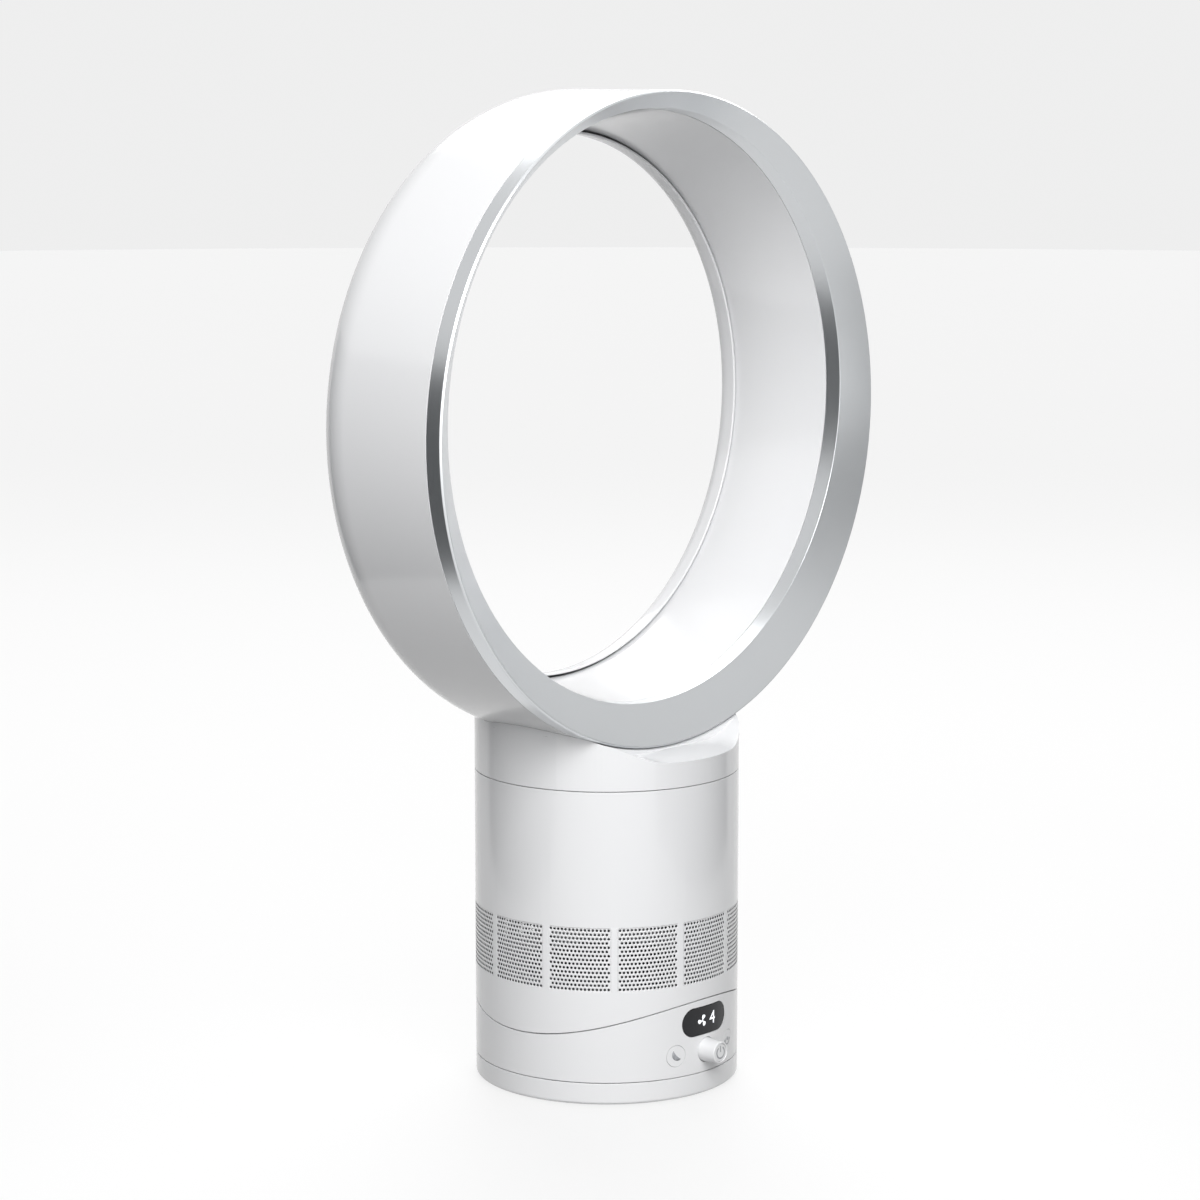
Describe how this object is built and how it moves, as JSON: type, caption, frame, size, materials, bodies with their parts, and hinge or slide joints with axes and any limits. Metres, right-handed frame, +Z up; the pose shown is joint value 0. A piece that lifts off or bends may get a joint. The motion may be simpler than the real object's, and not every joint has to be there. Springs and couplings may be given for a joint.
{
  "type": "bladeless desk fan",
  "caption": "Bladeless ring desk fan: an air loop with a silver front rim on a tilting, swivelling round column with inlet panels, display, dial and buttons.",
  "frame": {"origin": "the swivel axis where the rubber mat meets the desk", "axes": "+Z up, -Y towards the front with the display and the silver rim, +X to the fan's left side as it faces -Y"},
  "size_m": [0.306, 0.1356, 0.4714],
  "materials": {
    "gloss_white": "high-gloss white ABS",
    "satin_silver": "satin silver metallic paint on plastic",
    "gloss_black": "glossy smoked display window",
    "grey_plastic": "satin grey moulded plastic",
    "dark_plastic": "matt black moulded plastic",
    "acetal": "natural acetal",
    "circuit_board": "green lacquered circuit board",
    "rubber": "matt moulded rubber",
    "foam": "open-cell acoustic foam",
    "steel": "plain machined steel"
  },
  "bodies": {
    "foot": {"rubber_foot_mat": "rubber", "foot_plate": "gloss_white", "swivel_post": "acetal", "post_screw_1": "steel", "post_screw_2": "steel", "post_screw_3": "steel", "swivel_bearing_ring": "acetal", "swivel_clip": "steel", "swivel_gear": "acetal"},
    "control_base": {"oscillation_motor": "steel", "base_casing": "gloss_white", "tilt_cradle": "grey_plastic", "display_window": "gloss_black", "display_board": "circuit_board", "button_board": "circuit_board", "dial_encoder": "dark_plastic", "timer_switch": "dark_plastic", "oscillation_switch": "dark_plastic", "control_board": "circuit_board", "power_inlet": "dark_plastic"},
    "pinion": {"oscillation_pinion": "acetal"},
    "dial": {"airflow_dial": "gloss_white"},
    "power_cap": {"power_button": "gloss_white"},
    "timer_cap": {"timer_button": "gloss_white"},
    "oscillation_cap": {"oscillation_button": "gloss_white"},
    "tower": {"tilt_shoe": "grey_plastic", "main_casing": "gloss_white", "inlet_grille": "gloss_white", "motor_board": "circuit_board", "silencing_foam": "foam", "impeller_housing": "grey_plastic", "inlet_bell": "grey_plastic", "housing_seal": "rubber", "isolator_mount_1": "rubber", "isolator_mount_2": "rubber", "isolator_mount_3": "rubber", "motor_bucket_lower": "grey_plastic", "motor_bucket_cap": "grey_plastic", "diffuser": "grey_plastic", "lower_bearing": "steel", "upper_bearing": "steel", "motor_stator": "steel", "collar": "gloss_white", "neck_seal": "rubber", "loop_outer_shell": "gloss_white", "loop_inner_shell": "gloss_white", "loop_gasket": "rubber", "loop_front_trim": "satin_silver"},
    "air_rotor": {"impeller": "grey_plastic", "motor_rotor": "steel"}
  },
  "joints": [
    {"name": "swivel", "type": "hinge", "parent": "foot", "child": "control_base", "pos_m": [0, 0, 0.0116], "axis": [0, 0, 1], "range_deg": [-45, 45]},
    {"name": "pinion_spin", "type": "hinge", "parent": "control_base", "child": "pinion", "pos_m": [0, 0.03, 0.0095], "axis": [0, 0, 1], "range_deg": [-181, 181]},
    {"name": "tilt", "type": "hinge", "parent": "control_base", "child": "tower", "pos_m": [0, 0, 0.17947], "axis": [1, 0, 0], "range_deg": [-10, 10]},
    {"name": "dial_turn", "type": "hinge", "parent": "control_base", "child": "dial", "pos_m": [0, -0.0633, 0.0219], "axis": [0, -1, 0], "continuous": true},
    {"name": "power_press", "type": "slide", "parent": "dial", "child": "power_cap", "axis": [0, 1, 0], "range_m": [0, 0.001], "stiffness_N_per_m": 400, "springref_m": -0.001},
    {"name": "timer_press", "type": "slide", "parent": "control_base", "child": "timer_cap", "axis": [0.2957, 0.9553, 0], "range_m": [0, 0.0008], "stiffness_N_per_m": 400, "springref_m": -0.001},
    {"name": "oscillation_press", "type": "slide", "parent": "control_base", "child": "oscillation_cap", "axis": [-0.2957, 0.9553, 0], "range_m": [0, 0.0008], "stiffness_N_per_m": 400, "springref_m": -0.001},
    {"name": "impeller_spin", "type": "hinge", "parent": "tower", "child": "air_rotor", "pos_m": [0, 0, 0.107], "axis": [0, 0, 1], "continuous": true}
  ],
  "couplings": [
    {"joint": "pinion_spin", "follows": "swivel", "ratio": 4}
  ]
}
